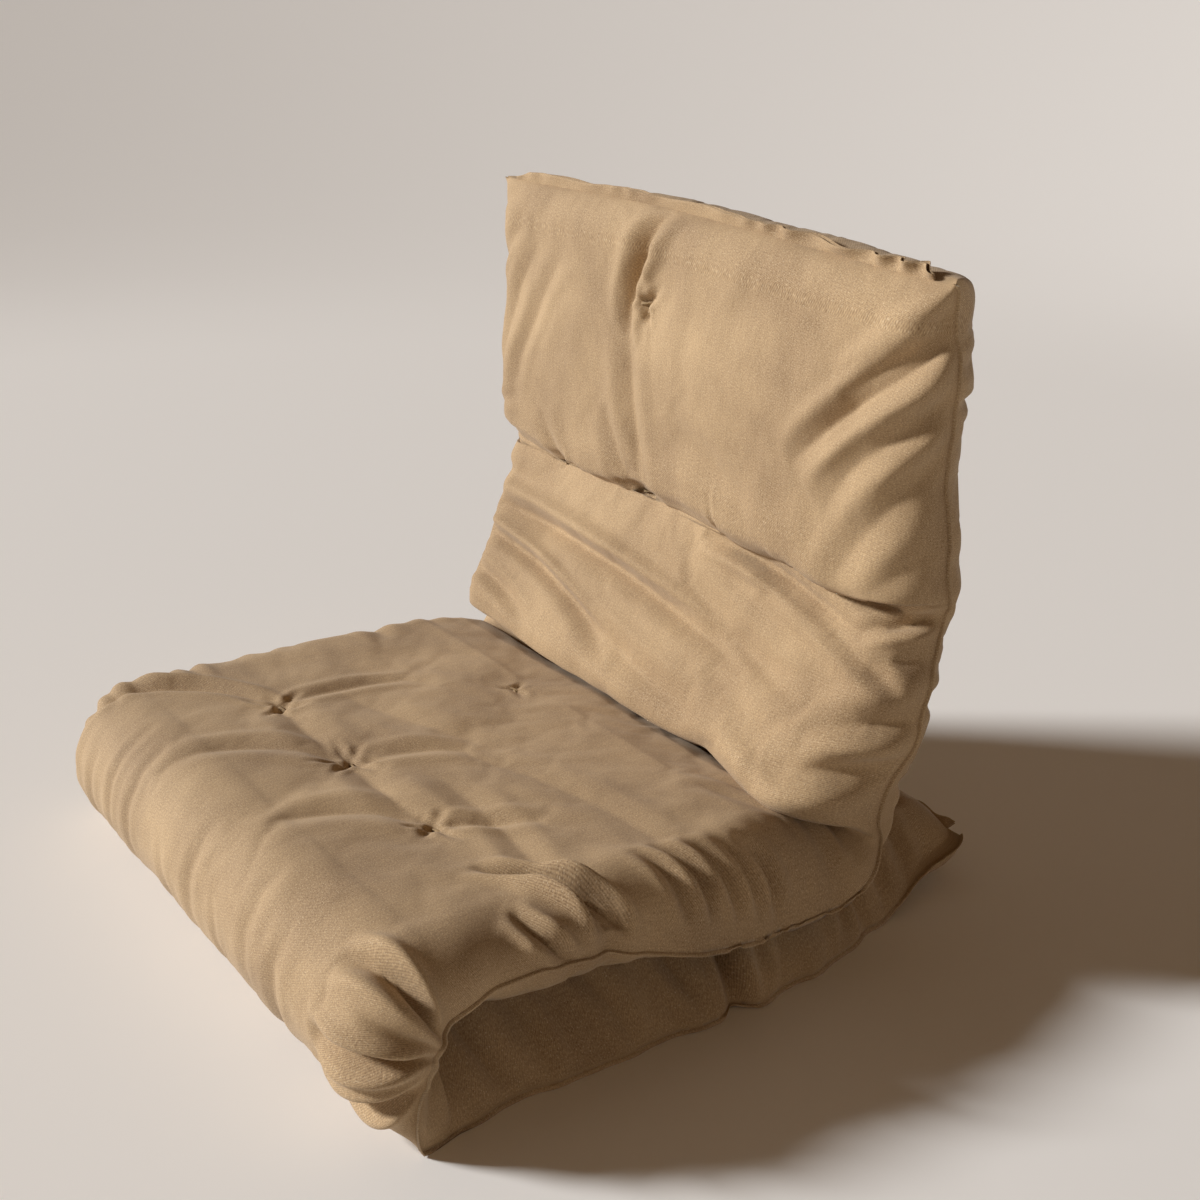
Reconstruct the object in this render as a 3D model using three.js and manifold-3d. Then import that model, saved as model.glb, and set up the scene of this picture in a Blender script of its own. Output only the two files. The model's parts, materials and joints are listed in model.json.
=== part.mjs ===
// A long tufted futon mattress, folded into a floor chair: a base layer on the floor, a seat layer
// folded over it at the front, and a back and head section that rise from the back of the seat.
// Millimetres, +Z up, +X across the width, +Y towards the back. The origin is on the floor, under
// the middle of the whole part.
//
// Every piece is first laid out on the unfolded mattress: x across, s along it and h through its
// thickness, where h is positive towards the face panel. A segment then places (s, h) in Y and Z.

import * as THREE from 'three';
import { mergeVertices } from 'three/addons/utils/BufferGeometryUtils.js';
import Module from 'manifold-3d';

const wasm = await Module();
wasm.setup();

// Driving dimensions
const mattressWidth = 700;
const mattressThickness = 80;
const baseLength = 660;
const seatLength = 434;
const backLength = 222;
const headLength = 322;

const backRise = 74;          // degrees between the seat and the lower back
const headBend = 18;          // degrees that the head section leans forward of the back
const reclineRoom = 21;       // degrees left open behind the back for leaning it further
const nodRoom = 8.5;          // degrees left open in front of the head for nodding it

const coverThickness = 2;
const coreThickness = 36;
const pieceGap = 0.3;         // between pieces inside one section
const layerGap = 0.6;         // between the base layer and the seat layer
const sectionGap = 0.4;       // between neighbouring sections along the mattress

const endOpening = 12;        // height left open between the two panels at a free end
const seamThickness = 3;
const seamProud = 12;
const seamInside = 8;
const seamSetback = 46;       // from each side of the mattress to the end of a closing seam

const threadDiameter = 3;
const stitchLength = 14;
const stitchWidth = 3;

// Tufts, as distances across from the centre line and along each section
const seatFrontRow = { across: [-172, -12, 148], along: 104 };
const seatRearRow = { across: [-70], along: 331 };
const backRow = { across: [-190, -60, 70, 200], fromEnd: 18 };
const headRow = { across: [-45], fromEnd: 96 };
const baseRearRow = { across: [-172, -12, 148], along: 150 };
const baseFrontRow = { across: [-70], along: 380 };

// Derived sizes
const halfWidth = mattressWidth / 2;
const halfThickness = mattressThickness / 2;
const coreHalf = coreThickness / 2;
const foldRadius = mattressThickness + layerGap / 2;
const frontFoldY = (foldRadius - baseLength - seamProud) / 2;
const baseRearY = frontFoldY + baseLength;
const sideSteps = 5;
const foldSteps = 6;
const weldDistance = 1e-4;
// The filling's round sides stay inside the flats of the faceted cover.
const coverApothem = (halfThickness - coverThickness) * Math.cos(Math.PI / 4 / sideSteps);
const fillingInset = halfThickness - coverApothem + pieceGap;

const fabric = new THREE.MeshStandardMaterial({ color: 0xa98f66, roughness: 0.85, metalness: 0 });
const seamFabric = new THREE.MeshStandardMaterial({ color: 0x8f7550, roughness: 0.9, metalness: 0 });
const wadding = new THREE.MeshStandardMaterial({ color: 0xf1ece0, roughness: 1, metalness: 0 });
const foam = new THREE.MeshStandardMaterial({ color: 0xe8dcae, roughness: 0.95, metalness: 0 });
const thread = new THREE.MeshStandardMaterial({ color: 0x9a7f55, roughness: 0.8, metalness: 0 });

const radians = (degrees) => THREE.MathUtils.degToRad(degrees);

// ---------- Segments: each places a point of the unfolded mattress ----------

function straight(start, angle, faceAngle) {
  const along = [Math.cos(radians(angle)), Math.sin(radians(angle))];
  const face = [Math.cos(radians(faceAngle)), Math.sin(radians(faceAngle))];
  return (x, s, h) => [
    x,
    start[0] + along[0] * s + face[0] * h,
    start[1] + along[1] * s + face[1] * h,
  ];
}

// s is the angle turned about the crease, in degrees. faceSide is 1 where the face panel is outside.
function turning(crease, startAngle, sense, faceSide) {
  return (x, s, h) => {
    const radius = layerGap / 2 + halfThickness + faceSide * h;
    const angle = radians(startAngle + sense * s);
    return [x, crease[0] + radius * Math.cos(angle), crease[1] + radius * Math.sin(angle)];
  };
}

const frontCrease = [frontFoldY, foldRadius];
const rearCrease = [frontFoldY + seatLength, 2 * mattressThickness + 1.5 * layerGap];
const toMiddle = layerGap / 2 + halfThickness;
const backNormal = radians(backRise - 90);
const backStart = [
  rearCrease[0] + toMiddle * Math.cos(backNormal),
  rearCrease[1] + toMiddle * Math.sin(backNormal),
];
const headAngle = backRise + headBend;
const placeBack = straight(backStart, backRise, backRise + 90);
const [, headHingeY, headHingeZ] = placeBack(0, backLength, -halfThickness);
const headStart = [
  headHingeY + halfThickness * Math.cos(radians(headAngle + 90)),
  headHingeZ + halfThickness * Math.sin(radians(headAngle + 90)),
];

const segments = {
  base: { place: straight([baseRearY, halfThickness], 180, 270), length: baseLength, free: 'start' },
  front_fold_lower: { place: turning(frontCrease, 270, -1, 1), length: 90, turns: true },
  front_fold_upper: { place: turning(frontCrease, 180, -1, 1), length: 90, turns: true },
  seat: {
    place: straight([frontFoldY, 1.5 * mattressThickness + layerGap], 0, 90),
    length: seatLength,
  },
  rear_fold: {
    place: turning(rearCrease, 270, 1, -1),
    length: backRise - reclineRoom,
    turns: true,
  },
  back: { place: placeBack, length: backLength },
  head: {
    place: straight(headStart, headAngle, headAngle + 90),
    length: headLength,
    free: 'end',
    mitre: headBend + nodRoom,
  },
};

// ---------- Outlines across the mattress, as loops of [x, h] ----------

// Points down one rounded side, from height high to height low, for a section inset all round.
function side(inset, high, low, steps = sideSteps) {
  const radius = halfThickness - inset;
  const from = Math.asin(THREE.MathUtils.clamp(high / radius, -1, 1));
  const to = Math.asin(THREE.MathUtils.clamp(low / radius, -1, 1));
  const points = [];
  for (let i = 0; i <= steps; i++) {
    const angle = from + ((to - from) * i) / steps;
    points.push([halfWidth - halfThickness + radius * Math.cos(angle), radius * Math.sin(angle)]);
  }
  return points;
}

const mirrored = (points) => points.map(([x, h]) => [-x, h]).reverse();

// A filling layer between two heights.
function layerOutline(low, high) {
  const right = side(fillingInset, high, low);
  return [[...right, ...mirrored(right)]];
}

// One panel of the cover, from the middle of one side over to the middle of the other.
function panelOutline(inset, faceSide) {
  const outer = side(inset, halfThickness - inset, pieceGap / 2);
  const inner = side(inset + coverThickness, halfThickness - inset - coverThickness, pieceGap / 2);
  const loop = [...mirrored(outer), ...outer, ...inner.toReversed(), ...mirrored(inner).toReversed()];
  return [faceSide > 0 ? loop : loop.map(([x, h]) => [x, -h]).reverse()];
}

// The cover right round a fold, as a tube.
function tubeOutline() {
  const ring = (inset) => {
    const right = side(inset, halfThickness - inset, inset - halfThickness, 2 * sideSteps);
    return [...right, ...mirrored(right)];
  };
  return [ring(0), ring(coverThickness).reverse()];
}

// ---------- Solids ----------

// Joins the outlines at successive stations into one closed body. Each station is { s, loops }.
function loft(stations, place, mitreAt = () => 0) {
  const positions = [];
  const indices = [];
  const loopSizes = stations[0].loops.map((loop) => loop.length);
  const stationSize = loopSizes.reduce((sum, size) => sum + size, 0);
  for (const { s, loops } of stations) {
    for (const [x, h] of loops.flat()) positions.push(...place(x, s + mitreAt(s, h), h));
  }
  for (let station = 0; station < stations.length - 1; station++) {
    let first = station * stationSize;
    for (const size of loopSizes) {
      for (let i = 0; i < size; i++) {
        const a = first + i;
        const b = first + ((i + 1) % size);
        indices.push(a, b, b + stationSize, a, b + stationSize, a + stationSize);
      }
      first += size;
    }
  }
  addCap(indices, stations[0].loops, 0, false);
  addCap(indices, stations.at(-1).loops, (stations.length - 1) * stationSize, true);
  const geometry = new THREE.BufferGeometry();
  geometry.setAttribute('position', new THREE.Float32BufferAttribute(positions, 3));
  geometry.setIndex(indices);
  return turnedOutwards(geometry);
}

function addCap(indices, loops, first, flipped) {
  const [contour, ...holes] = loops.map((loop) => loop.map(([x, h]) => new THREE.Vector2(x, h)));
  for (const [a, b, c] of THREE.ShapeUtils.triangulateShape(contour, holes)) {
    indices.push(first + a, first + (flipped ? c : b), first + (flipped ? b : c));
  }
}

// Swaps every triangle round if the closed mesh has its faces pointing inwards.
function turnedOutwards(geometry) {
  const index = geometry.getIndex().array;
  const corner = (i) => new THREE.Vector3().fromBufferAttribute(geometry.getAttribute('position'), index[i]);
  let volume = 0;
  for (let i = 0; i < index.length; i += 3) volume += corner(i).dot(corner(i + 1).cross(corner(i + 2)));
  if (volume < 0) {
    for (let i = 0; i < index.length; i += 3) [index[i], index[i + 1]] = [index[i + 1], index[i]];
  }
  return geometry;
}

function toManifold(geometry) {
  const bare = geometry.clone();
  bare.deleteAttribute('normal');
  bare.deleteAttribute('uv');
  const merged = mergeVertices(bare, weldDistance);
  return new wasm.Manifold(
    new wasm.Mesh({
      numProp: 3,
      vertProperties: new Float32Array(merged.getAttribute('position').array),
      triVerts: new Uint32Array(merged.getIndex().array),
    }),
  );
}

function fromManifold(solid) {
  const { vertProperties, triVerts } = solid.getMesh();
  const geometry = new THREE.BufferGeometry();
  geometry.setAttribute('position', new THREE.BufferAttribute(vertProperties, 3));
  geometry.setIndex(new THREE.BufferAttribute(triVerts, 1));
  return geometry;
}

// ---------- Pieces ----------

const group = new THREE.Group();

function addMesh(name, geometry, material) {
  const mesh = new THREE.Mesh(geometry, material);
  mesh.name = name;
  group.add(mesh);
}

// Stations from one end of a segment to the other. outlineAt gives the loops for an inset.
function stationsOf(segment, outlineAt, setback = 0) {
  const gap = sectionGap / 2;
  if (segment.turns) {
    const gapAngle = THREE.MathUtils.radToDeg(gap / halfThickness);
    const turned = segment.length - 2 * gapAngle;
    return Array.from({ length: foldSteps + 1 }, (_, i) => ({
      s: gapAngle + (turned * i) / foldSteps,
      loops: outlineAt(0),
    }));
  }
  const stations = [];
  const near = segment.free === 'start' ? setback : gap;
  const far = segment.length - (segment.free === 'end' ? setback : gap);
  if (segment.free === 'start' && !setback) stations.push(...roundedEnd(0, 1, outlineAt));
  else stations.push({ s: near, loops: outlineAt(0) });
  if (segment.free === 'end' && !setback) {
    stations.push(...roundedEnd(segment.length, -1, outlineAt).reverse());
  } else {
    stations.push({ s: far, loops: outlineAt(0) });
  }
  return stations;
}

// A free end closes like the sides, down to the opening that the closing seam fills.
function roundedEnd(end, inwards, outlineAt) {
  const stations = [];
  const least = Math.asin(endOpening / 2 / halfThickness);
  for (let i = 0; i <= sideSteps; i++) {
    const angle = least + ((Math.PI / 2 - least) * i) / sideSteps;
    const inset = halfThickness * (1 - Math.sin(angle));
    const s = end + inwards * halfThickness * (1 - Math.cos(angle));
    stations.push({ s, loops: outlineAt(inset) });
  }
  return stations;
}

// The head section's near end is cut back towards its face, so that the head can nod.
function mitreOf(segment) {
  if (!segment.mitre) return () => 0;
  const slope = Math.tan(radians(segment.mitre));
  return (s, h) => (s < halfThickness ? (h + halfThickness) * slope : 0);
}

const tuftsOf = {
  base: [baseRearRow, baseFrontRow],
  seat: [seatFrontRow, seatRearRow],
  back: [backRow],
  head: [headRow],
};

function tuftPlaces(name) {
  return (tuftsOf[name] ?? []).flatMap((row) => {
    const s = row.along ?? segments[name].length - row.fromEnd;
    return row.across.map((x) => ({ x, s }));
  });
}

function block(place, { x, s }, sizeX, sizeS, low, high) {
  const outline = [[sizeX / 2, high], [sizeX / 2, low], [-sizeX / 2, low], [-sizeX / 2, high]];
  const loops = [outline.map(([dx, h]) => [x + dx, h])];
  return toManifold(loft([{ s: s - sizeS / 2, loops }, { s: s + sizeS / 2, loops }], place));
}

// Cuts the way for each tuft's thread, or for its stitch where the piece is a cover panel.
function pierced(name, geometry, isPanel) {
  const { place } = segments[name];
  let solid = toManifold(geometry);
  const sizeX = (isPanel ? stitchLength : threadDiameter) + 2 * pieceGap;
  const sizeS = (isPanel ? stitchWidth : threadDiameter) + 2 * pieceGap;
  for (const tuft of tuftPlaces(name)) {
    solid = solid.subtract(block(place, tuft, sizeX, sizeS, -mattressThickness, mattressThickness));
  }
  return fromManifold(solid);
}

function addTufts(name) {
  const { place } = segments[name];
  const stitchLow = halfThickness - coverThickness;
  const columnTop = stitchLow + coverThickness / 2;
  tuftPlaces(name).forEach((tuft, i) => {
    const column = block(place, tuft, threadDiameter, threadDiameter, -columnTop, columnTop);
    const faceStitch = block(place, tuft, stitchLength, stitchWidth, stitchLow, halfThickness);
    const reverseStitch = block(place, tuft, stitchLength, stitchWidth, -halfThickness, -stitchLow);
    const solid = column.add(faceStitch).add(reverseStitch);
    addMesh(`${name}_tuft_${i + 1}`, fromManifold(solid), thread);
  });
}

function addLayer(name, layer, low, high, material) {
  const segment = segments[name];
  const stations = stationsOf(segment, () => layerOutline(low, high), halfThickness + pieceGap);
  const geometry = loft(stations, segment.place, mitreOf(segment));
  addMesh(`${name}_${layer}`, pierced(name, geometry, false), material);
}

function addFilling(name) {
  const fillingHalf = halfThickness - fillingInset;
  addLayer(name, 'face_wadding', coreHalf + pieceGap, fillingHalf, wadding);
  addLayer(name, 'core', -coreHalf, coreHalf, foam);
  addLayer(name, 'reverse_wadding', -fillingHalf, -coreHalf - pieceGap, wadding);
}

function addPanels(name) {
  const segment = segments[name];
  for (const [panel, faceSide] of [['face_cover', 1], ['reverse_cover', -1]]) {
    const stations = stationsOf(segment, (inset) => panelOutline(inset, faceSide));
    const geometry = loft(stations, segment.place, mitreOf(segment));
    addMesh(`${name}_${panel}`, pierced(name, geometry, true), fabric);
  }
}

function addFoldCover(name) {
  const segment = segments[name];
  addMesh(`${name}_cover`, loft(stationsOf(segment, tubeOutline), segment.place), fabric);
}

// The two panels' turned-in edges, sewn together over the opening that the filling went in by.
function addClosingSeam(name) {
  const { place, length, free } = segments[name];
  const width = mattressWidth - 2 * seamSetback;
  const [near, far] = free === 'end' ? [length - seamInside, length + seamProud] : [-seamProud, seamInside];
  const centre = { x: 0, s: (near + far) / 2 };
  const strip = block(place, centre, width, far - near, -seamThickness / 2, seamThickness / 2);
  addMesh(`${name}_closing_seam`, fromManifold(strip), seamFabric);
}

for (const name of Object.keys(segments)) {
  if (segments[name].turns) addFoldCover(name);
  else addPanels(name);
  addFilling(name);
  addTufts(name);
  if (segments[name].free) addClosingSeam(name);
}

export default group;
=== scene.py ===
# Folded futon mattress: one long stuffed cover, built as a single skin along the fold, puffed by
# cloth simulation, then cut into pieces along the rows.
import bpy
import bmesh
import json
import math
import numpy as np
from mathutils import Matrix, Vector


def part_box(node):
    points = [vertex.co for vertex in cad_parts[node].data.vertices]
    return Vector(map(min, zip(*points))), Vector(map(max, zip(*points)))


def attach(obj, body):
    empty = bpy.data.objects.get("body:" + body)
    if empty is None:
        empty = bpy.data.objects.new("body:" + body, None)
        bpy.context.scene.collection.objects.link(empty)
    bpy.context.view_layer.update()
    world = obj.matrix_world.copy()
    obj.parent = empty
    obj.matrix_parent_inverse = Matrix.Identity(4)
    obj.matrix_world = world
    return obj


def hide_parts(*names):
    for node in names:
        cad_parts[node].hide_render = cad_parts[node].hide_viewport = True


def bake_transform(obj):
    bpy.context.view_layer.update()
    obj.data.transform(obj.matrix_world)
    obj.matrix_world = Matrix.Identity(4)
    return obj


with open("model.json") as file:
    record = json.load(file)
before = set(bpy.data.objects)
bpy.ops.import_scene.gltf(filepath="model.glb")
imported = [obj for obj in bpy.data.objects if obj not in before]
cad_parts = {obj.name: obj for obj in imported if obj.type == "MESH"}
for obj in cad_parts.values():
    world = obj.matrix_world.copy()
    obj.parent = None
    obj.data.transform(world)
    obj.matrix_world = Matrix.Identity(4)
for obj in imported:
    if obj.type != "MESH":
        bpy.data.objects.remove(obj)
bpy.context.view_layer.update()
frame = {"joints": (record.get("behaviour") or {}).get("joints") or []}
mm = 0.001


def addNode(tree, kind, settings=None, inputs=None):
    # settings are the node's own properties, inputs are values or links by socket name or number
    node = tree.nodes.new(kind)
    for name, value in (settings or {}).items():
        setattr(node, name, value)
    for key, value in (inputs or {}).items():
        if isinstance(value, bpy.types.NodeSocket):
            tree.links.new(value, node.inputs[key])
        else:
            node.inputs[key].default_value = value
    return node


def calc(tree, operation, a, b=0.0):
    return addNode(tree, "ShaderNodeMath", {"operation": operation}, {0: a, 1: b}).outputs[0]


def linear(hexColour):
    channels = [int(hexColour[i:i + 2], 16) / 255 for i in (1, 3, 5)]
    curve = [c / 12.92 if c <= 0.04045 else ((c + 0.055) / 1.055) ** 2.4 for c in channels]
    return (*curve, 1.0)


# the folded path, from the hinges of the frame

joints = {joint["name"]: joint for joint in frame["joints"]}


def hinge(name):
    return np.array(joints[name]["pos_m"][1:])


def turned(degrees):
    return np.array([math.cos(math.radians(degrees)), math.sin(math.radians(degrees))])


frontCrease = (hinge("front_fold_bottom") + hinge("front_fold_top")) / 2
outerRadius = frontCrease[1]
rearCrease = hinge("back_recline")
headHinge = hinge("head_tilt")
backRise = joints["rear_fold_open"]["range_deg"][1]
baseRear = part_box("base_face_cover")[1].y
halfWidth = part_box("seat_face_cover")[1].x
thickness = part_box("seat_face_cover")[1].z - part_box("seat_reverse_cover")[0].z
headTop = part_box("head_face_cover")[1].z

path = {
    "grid": 3.2 * mm,         # spacing of the skin's mesh
    "headBend": 18,           # degrees that the head leans forward of the back
    "middle": outerRadius - thickness / 2,
    "sideRound": 58 * mm,     # how far in from the seam the side has rounded over
    "sideGirth": 85 * mm,     # the cloth's own length over that rounding
    "sideCount": 24,          # columns over it
    "endRound": 48 * mm,
    "endBunch": 0.85,         # how far the rows bunch up at a free end, as a share
    "crown": 0.05,            # how much fuller the middle is than the sides
}


class Rows:
    # one entry for each row of the skin: where its middle is, which way its face looks, and how far
    # along the face panel it lies
    def __init__(self):
        self.middle, self.face, self.along = [], [], []
        self.marks = {}

    def straight(self, name, start, angle, faceAngle, length):
        count = max(2, 2 * round(length / path["grid"] / 2))    # even, so that half a grid also fits
        first = self.along[-1] if self.along else 0
        self.marks[name] = first
        for k in range(0 if not self.along else 1, count + 1):
            self.add(start + turned(angle) * length * k / count, turned(faceAngle),
                     first + length * k / count)

    def turn(self, name, crease, startAngle, sweep, faceSide, arc):
        count = max(4, 2 * round(arc / path["grid"] / 2))
        first = self.along[-1]
        self.marks[name] = first
        for k in range(1, count + 1):
            out = turned(startAngle + sweep * k / count)
            self.add(crease + out * path["middle"], out * faceSide, first + arc * k / count)

    def add(self, middle, face, along):
        self.middle.append(middle)
        self.face.append(face)
        self.along.append(along)


def layRows():
    rows = Rows()
    half = thickness / 2
    headAngle = backRise + path["headBend"]
    reach = 2 * half * math.tan(math.radians(path["headBend"] / 2))
    backFace = -turned(backRise - 90)
    backStart = rearCrease - backFace * path["middle"]
    backLength = float((headHinge - backStart) @ turned(backRise)) - reach
    bendCrease = headHinge - turned(backRise) * reach + backFace * (thickness + path["middle"] - half)
    headFace = turned(headAngle + 90)
    headStart = headHinge + turned(headAngle) * reach + headFace * half
    headLength = (headTop - headStart[1]) / turned(headAngle)[1]
    rows.straight("base", np.array([baseRear, half]), 180, 270, baseRear - frontCrease[0])
    rows.turn("frontRoll", frontCrease, 270, -180, 1, math.pi * outerRadius)
    rows.straight("seat", frontCrease + [0, path["middle"]], 0, 90, rearCrease[0] - frontCrease[0])
    rows.turn("rearFold", rearCrease, 270, backRise, -1, math.radians(backRise) * outerRadius)
    rows.straight("back", backStart, backRise, backRise + 90, backLength)
    rows.turn("headFold", bendCrease, backRise - 90, path["headBend"], -1,
              math.radians(path["headBend"]) * outerRadius)
    rows.straight("head", headStart, headAngle, headAngle + 90, headLength)
    return rows


rows = layRows()
along = np.array(rows.along)
marks = rows.marks
print("rows", len(along), {k: round(v, 3) for k, v in marks.items()})


def bump(value, centre, width):
    return np.exp(-((value - centre) / width) ** 2)


def smooth(value, low, high):
    t = np.clip((value - low) / (high - low), 0, 1)
    return t * t * (3 - 2 * t)


# the plain skin: a pillow section swept along the rows

def sectionColumns():
    # offset from the seam, height factor and girth for each column, left seam to right seam
    angle = np.linspace(0, math.pi / 2, path["sideCount"] + 1)
    fromSeam = path["sideRound"] * (1 - np.cos(angle))
    height = np.sin(angle)
    flat = 2 * (halfWidth - path["sideRound"])
    flatCount = 2 * round(flat / path["grid"] / 2)
    leftX = -halfWidth + fromSeam
    flatX = np.linspace(leftX[-1], -leftX[-1], flatCount + 1)[1:-1]
    x = np.concatenate([leftX, flatX, -leftX[::-1]])
    factor = np.concatenate([height, np.ones(len(flatX)), height[::-1]])
    sideGirth = np.linspace(0, path["sideGirth"], path["sideCount"] + 1)
    inner = halfWidth - path["sideRound"]
    girth = np.concatenate([-(inner + sideGirth[::-1]), flatX, inner + sideGirth])
    return x, factor, girth


columnX, columnFactor, columnGirth = sectionColumns()
columnCount, rowCount = len(columnX), len(along)


def endFactors():
    # both free ends close like a pillow: rows bunch up towards the end and lose their height
    factor = np.ones(rowCount)
    shift = np.zeros(rowCount)
    reach = path["endRound"]
    for end, sign in ((along[0], 1), (along[-1], -1)):
        inside = np.abs(along - end)
        near = inside < reach
        angle = inside[near] / reach * math.pi / 2
        factor[near] = np.sin(angle)
        shift[near] = sign * (reach * (1 - np.cos(angle)) * path["endBunch"] - inside[near])
    return factor, shift


endFactor, endShift = endFactors()


def between(points, where=None):
    # a height that follows (part, distance in mm, value in mm) along the rows
    places = [marks[part] + distance * mm for part, distance, _ in points]
    return np.interp(along if where is None else where, places, [value * mm for _, _, value in points])


headLength = along[-1] - marks["head"]

# Where the seam lies between the reverse side (below zero) and the face (above zero). It runs on the
# floor round the base, cuts across the end of the front roll, and droops over the base at the rear
seamOffset = between([("base", 0, -8), ("base", 60, 12), ("base", 130, 38), ("frontRoll", 0, 38),
                      ("frontRoll", 30, 36), ("frontRoll", 58, 4), ("frontRoll", 84, -18),
                      ("frontRoll", 126, -24), ("frontRoll", 210, -22), ("seat", 0, -14), ("seat", 45, -2),
                      ("seat", 90, 4), ("seat", 145, -4), ("seat", 230, -30), ("seat", 290, -46),
                      ("seat", 378, -58), ("rearFold", 0, -56), ("rearFold", 50, -34), ("back", 40, -12),
                      ("head", 0, 0), ("head", headLength / mm - 60, 10), ("head", headLength / mm, 24)])

# Half thickness of each panel from the middle: it dips at the folds, where the filling is nipped
faceHeights = [("base", 0, 38), ("frontRoll", 190, 39), ("seat", 0, 36), ("seat", 50, 39),
               ("seat", 104, 42), ("seat", 260, 43), ("seat", 350, 41), ("seat", 405, 32),
               ("rearFold", 30, 10), ("rearFold", 80, 4), ("rearFold", 100, 28), ("back", 6, 50),
               ("back", 22, 56), ("back", 100, 44), ("back", 165, 42), ("back", 203, 38),
               ("headFold", 6, 28), ("headFold", 14, 13), ("headFold", 22, 30), ("head", 8, 50),
               ("head", 26, 55), ("head", 80, 51),
               ("head", 200, 46), ("head", headLength / mm, 40)]
reverseHeight = between([("base", 0, 38), ("base", 590, 37), ("frontRoll", 0, 26), ("frontRoll", 125, 23),
                         ("seat", 0, 26), ("seat", 60, 37), ("seat", 400, 37), ("rearFold", 50, 36),
                         ("back", 100, 40), ("head", 150, 43), ("head", headLength / mm, 40)])


def foldWander():
    # the fold under the head is not straight: it lies higher in the middle and lower on the right
    shift = np.interp(columnGirth, np.array([-370, -288, -148, 44, 108, 212, 262, 311, 380]) * mm,
                      np.array([30, 28, 16, 32, 28, 22, -18, -32, -36]) * mm)
    shift = np.convolve(np.pad(shift, 6, "edge"), np.ones(13) / 13, "valid")
    window = bump(along, marks["head"], 95 * mm)
    return along[:, None] - shift[None, :] * window[:, None]


def edgeWave(seed):
    # the side seams run in and out a little, most where the cloth is gathered
    random = np.random.default_rng(seed)
    total = np.zeros(rowCount)
    for size, height in ((420, 5), (170, 3), (75, 1.2), (38, 0.4)):
        total += height * mm * np.sin(2 * math.pi * along / (size * mm) + random.uniform(0, 6.28))
    return total / halfWidth


def buildSkin():
    # face panel, then the reverse panel, which shares the seam all round
    middle, face = np.array(rows.middle), np.array(rows.face)
    forwards = np.stack([-face[:, 1], face[:, 0]], axis=1)
    steps = np.gradient(middle, axis=0)
    forwards *= np.sign((forwards * steps).sum(1))[:, None]
    middle = middle + forwards * endShift[:, None]
    factor = columnFactor[None, :] * endFactor[:, None]
    crown = 1 + path["crown"] * (1 - (columnX[None, :] / halfWidth) ** 2)
    offset = seamOffset[:, None] * np.ones(columnCount)
    wandering = foldWander()
    faceHeight = between(faceHeights, wandering)
    slitFill = np.interp(columnGirth, np.array([-380, -120, 20, 90, 230, 270]) * mm,
                         np.array([17, 17, 15, 11, 8, 10]) * mm)
    faceHeight += slitFill[None, :] * bump(wandering, marks["headFold"] + 14 * mm, 9 * mm)
    faceLift = offset + (faceHeight * crown - offset) * factor
    reverseLift = offset - (reverseHeight[:, None] * crown + offset) * factor

    # both sides draw in towards the rear end of the base, the right one more
    rightSide = (1 + edgeWave(81)) * np.interp(along, [0, 0.06, 0.26], [0.83, 0.88, 1])
    leftSide = (1 + edgeWave(82)) * np.interp(along, [0, 0.06, 0.2], [0.93, 0.96, 1])
    share = smooth(columnX, -0.1, 0.1)[None, :]

    def place(lift):
        x = columnX[None, :] * (rightSide[:, None] * share + leftSide[:, None] * (1 - share))
        y = middle[:, None, 0] + face[:, None, 0] * lift
        z = middle[:, None, 1] + face[:, None, 1] * lift
        return np.stack([x, y, z], axis=2)

    facePoints, reversePoints = place(faceLift), place(reverseLift)
    faceIndex = np.arange(rowCount * columnCount).reshape(rowCount, columnCount)
    inner = np.arange((rowCount - 2) * (columnCount - 2)).reshape(rowCount - 2, columnCount - 2)
    reverseIndex = faceIndex.copy()
    reverseIndex[1:-1, 1:-1] = inner + faceIndex.size
    points = np.concatenate([facePoints.reshape(-1, 3), reversePoints[1:-1, 1:-1].reshape(-1, 3)])
    return points, faceIndex, reverseIndex


def quads(index, flipped):
    corners = np.stack([index[:-1, :-1], index[:-1, 1:], index[1:, 1:], index[1:, :-1]], axis=2)
    corners = corners[:, :, ::-1] if flipped else corners
    return corners.reshape(-1, 4)


skinPoints, faceIndex, reverseIndex = buildSkin()
skinQuads = np.concatenate([quads(faceIndex, False), quads(reverseIndex, True)])
faceCount = faceIndex.size
girth = np.concatenate([np.tile(columnGirth, rowCount), np.tile(columnGirth[1:-1], rowCount - 2)])
reach = np.concatenate([np.repeat(along, columnCount), np.repeat(along[1:-1], columnCount - 2)])
onFace = np.arange(len(girth)) < faceCount
print("skin", len(skinPoints), "points")


def skinNormals(points):
    mesh = bpy.data.meshes.new("normals")
    mesh.from_pydata(points.tolist(), [], skinQuads.tolist())
    normals = np.zeros(len(points) * 3, np.float32)
    mesh.vertices.foreach_get("normal", normals)
    bpy.data.meshes.remove(mesh)
    return normals.reshape(-1, 3).astype(float)


# where the tufts are, in millimetres on the unfolded mattress

def tuftsFromFrame(body, part, distanceOf):
    # the stitches of one section, as (across, distance) from the frame's own tufts
    found = []
    for number in range(1, 5):
        low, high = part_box(f"{body}_tuft_{number}")
        middle = (low + high) / 2
        found.append((middle.x / mm, distanceOf(middle.y) / mm))
    return part, found


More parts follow.
